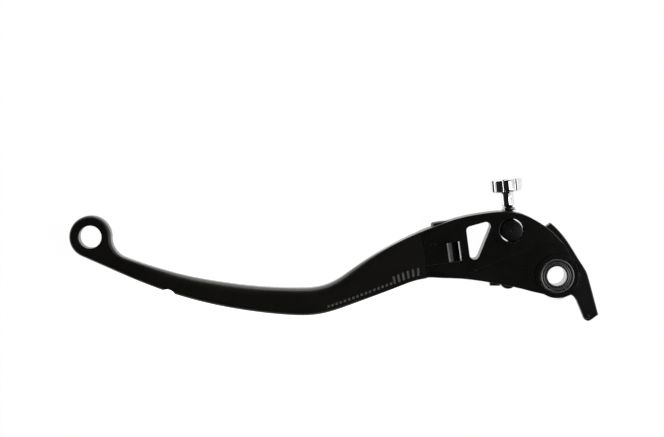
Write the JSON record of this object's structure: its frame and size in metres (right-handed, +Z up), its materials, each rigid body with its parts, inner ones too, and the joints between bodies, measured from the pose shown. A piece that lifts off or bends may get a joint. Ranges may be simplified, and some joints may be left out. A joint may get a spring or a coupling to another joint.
{
  "type": "clutch lever",
  "caption": "Folding clutch lever with a ringed tip, a forked knuckle, a fluted reach adjuster and a bearing pivot with a pushrod arm.",
  "frame": {"origin": "on the pivot axis, at the lever's mid height", "axes": "+Z up along the pivot axis, +Y towards the front of the motorcycle, -X out along the blade to its tip"},
  "size_m": [0.2172, 0.0589, 0.0144],
  "materials": {
    "blade_anodised": "satin black anodised",
    "black_anodised": "satin black anodised, machined",
    "arm_anodised": "matt black anodised",
    "polished_steel": "polished",
    "black_steel": "black oxide",
    "bearing_steel": "ground",
    "shield_grey": "pressed steel",
    "spring_steel": "bright wire",
    "bronze": "sintered bronze"
  },
  "bodies": {
    "pivot_core": {"upper_inner_race": "bearing_steel", "lower_inner_race": "bearing_steel", "pivot_sleeve": "bearing_steel"},
    "bearing_balls": {"upper_ball_cage": "bearing_steel", "lower_ball_cage": "bearing_steel"},
    "arm": {"push_arm": "arm_anodised", "arm_bush": "bronze", "thrust_seat": "bearing_steel", "tail_pin": "bearing_steel"},
    "rod_seat": {"pushrod_barrel": "black_steel"},
    "knuckle": {"lever_knuckle": "black_anodised", "fold_hinge_bolt": "black_steel", "fold_hinge_nut": "black_steel", "detent_ball": "bearing_steel", "detent_spring": "spring_steel", "detent_grub_screw": "black_steel", "upper_outer_race": "bearing_steel", "lower_outer_race": "bearing_steel", "upper_bearing_outer_shield": "shield_grey", "upper_bearing_inner_shield": "shield_grey", "lower_bearing_outer_shield": "shield_grey", "lower_bearing_inner_shield": "shield_grey", "adjuster_spring": "spring_steel"},
    "blade": {"finger_blade": "blade_anodised", "fold_hinge_bush": "bronze"},
    "nut": {"barrel_nut": "black_steel"},
    "foot": {"thrust_foot": "bearing_steel"},
    "adjuster": {"adjuster_screw": "black_steel", "adjuster_knob": "polished_steel"}
  },
  "joints": [
    {"name": "lever_pull", "type": "hinge", "parent": "pivot_core", "child": "arm", "pos_m": [0, 0, 0], "axis": [0, 0, 1], "range_deg": [0, 22]},
    {"name": "reach_adjust", "type": "hinge", "parent": "arm", "child": "knuckle", "pos_m": [0, 0, 0], "axis": [0, 0, 1], "range_deg": [-3, 3]},
    {"name": "ball_roll", "type": "hinge", "parent": "pivot_core", "child": "bearing_balls", "pos_m": [0, 0, 0], "axis": [0, 0, 1], "range_deg": [0, 13]},
    {"name": "rod_swivel", "type": "hinge", "parent": "arm", "child": "rod_seat", "pos_m": [-0.0198, -0.00195, 0], "axis": [0, 0, 1], "range_deg": [-15, 15]},
    {"name": "nut_swivel", "type": "hinge", "parent": "knuckle", "child": "nut", "pos_m": [-0.0186, 0.0187, 0], "axis": [0, 0, 1], "range_deg": [-3.5, 3.5]},
    {"name": "screw_feed", "type": "slide", "parent": "nut", "child": "foot", "axis": [0.0956, -0.9954, 0], "range_m": [-0.0009, 0.0009], "deforming": ["adjuster_spring"]},
    {"name": "knob_turn", "type": "hinge", "parent": "foot", "child": "adjuster", "pos_m": [-0.0186, 0.0187, 0], "axis": [0.0956, -0.9954, 0], "range_deg": [-455, 455]},
    {"name": "blade_fold", "type": "hinge", "parent": "knuckle", "child": "blade", "pos_m": [-0.04625, 0.0097, 0], "axis": [-0.1323, 0.9912, 0], "range_deg": [0, 90]}
  ],
  "couplings": [
    {"joint": "ball_roll", "follows": "lever_pull", "ratio": 0.55},
    {"joint": "nut_swivel", "follows": "reach_adjust", "ratio": 1.12},
    {"joint": "screw_feed", "follows": "reach_adjust", "m_per_rad": -0.01675},
    {"joint": "knob_turn", "follows": "reach_adjust", "ratio": -150.35}
  ]
}
